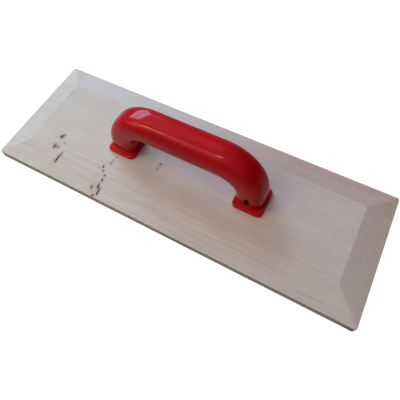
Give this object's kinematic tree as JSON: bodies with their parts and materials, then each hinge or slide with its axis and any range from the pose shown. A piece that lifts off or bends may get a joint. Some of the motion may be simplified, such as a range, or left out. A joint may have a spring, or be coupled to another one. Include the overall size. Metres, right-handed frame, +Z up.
{
  "type": "wooden hand float",
  "caption": "Rectangular timber hand float with bevelled top edges and a D-shaped moulded plastic grip, for levelling and smoothing plaster, render or mortar.",
  "frame": {"origin": "middle of the flat working face under the board", "axes": "+X along the board's length and the grip, +Y across the board, +Z up from the working face towards the grip"},
  "size_m": [0.4, 0.14, 0.0809],
  "materials": {
    "timber": "bare pale hardwood, planed and sanded, grain along the board, a few dark knots",
    "red_plastic": "glossy moulded red plastic",
    "screw_steel": "dull brown phosphate coating"
  },
  "bodies": {
    "root": {"board": "timber", "handle": "red_plastic", "screw_left": "screw_steel", "screw_right": "screw_steel"}
  },
  "joints": []
}
